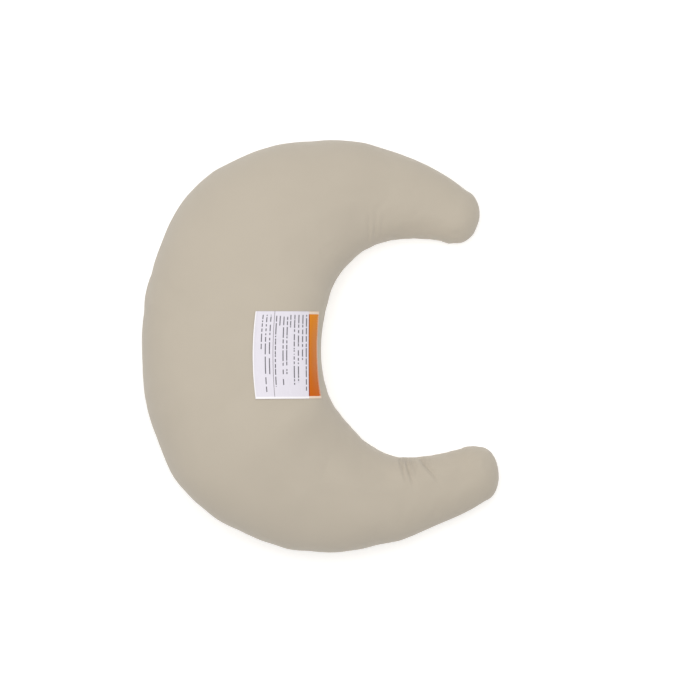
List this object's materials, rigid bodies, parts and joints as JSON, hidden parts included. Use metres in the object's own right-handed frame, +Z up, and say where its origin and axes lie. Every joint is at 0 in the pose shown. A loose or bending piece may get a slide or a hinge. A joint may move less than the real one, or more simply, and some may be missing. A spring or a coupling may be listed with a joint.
{
  "type": "nursing pillow",
  "caption": "C-shaped stuffed pillow that wraps round the waist, in a removable zipped fabric cover with a care label sewn on top.",
  "frame": {"origin": "middle of the bounding box's base, on the table the pillow lies on", "axes": "+X through the middle of the waist opening, from the back out between the arm tips; +Y from the lower arm to the upper arm; +Z up, out of the top of the cover"},
  "size_m": [0.4365, 0.5033, 0.1457],
  "materials": {
    "cover_fabric": "soft matte brushed jersey",
    "casing_fabric": "plain matte weave",
    "fibre": "fluffy matte",
    "zip_tape": "matte woven tape",
    "zip_coil": "satin nylon",
    "zip_slider_metal": "painted to match the tape",
    "zip_stop_metal": "satin",
    "thread": "matte sewing thread",
    "label_body": "smooth coated label cloth",
    "label_band": "smooth coated label cloth, printed",
    "label_thread": "matte sewing thread"
  },
  "bodies": {
    "pillow": {"cover_top_panel": "cover_fabric", "cover_bottom_panel": "cover_fabric", "cover_seam_overlock": "thread", "zip_tape_upper": "zip_tape", "zip_tape_lower": "zip_tape", "zip_coil_upper": "zip_coil", "zip_coil_lower": "zip_coil", "zip_stitching_upper": "thread", "zip_stitching_lower": "thread", "zip_top_stop_upper": "zip_stop_metal", "zip_top_stop_lower": "zip_stop_metal", "zip_bottom_stop": "zip_stop_metal", "label_header": "label_band", "label_stitching": "label_thread", "inner_casing_top": "casing_fabric", "inner_casing_bottom": "casing_fabric", "casing_seam_overlock": "thread", "fibre_fill": "fibre"},
    "slider": {"zip_slider": "zip_slider_metal"},
    "pull_tab": {"zip_pull_tab": "zip_slider_metal"},
    "label": {"label_flap": "label_body"}
  },
  "joints": [
    {"name": "zip_slider_travel", "type": "hinge", "parent": "pillow", "child": "slider", "pos_m": [0.1195, 0, 0.034], "axis": [0, 0, 1], "range_deg": [0, 41.8]},
    {"name": "zip_pull_swing", "type": "hinge", "parent": "slider", "child": "pull_tab", "pos_m": [-0.19435, 0.12016, 0.03432], "axis": [0.3446, -0.132, -0.9294], "range_deg": [0, 180]},
    {"name": "label_flap_lift", "type": "hinge", "parent": "pillow", "child": "label", "pos_m": [-0.0124, -0.01009, 0.12881], "axis": [0.0003, 0.9996, -0.0299], "range_deg": [0, 120]}
  ]
}
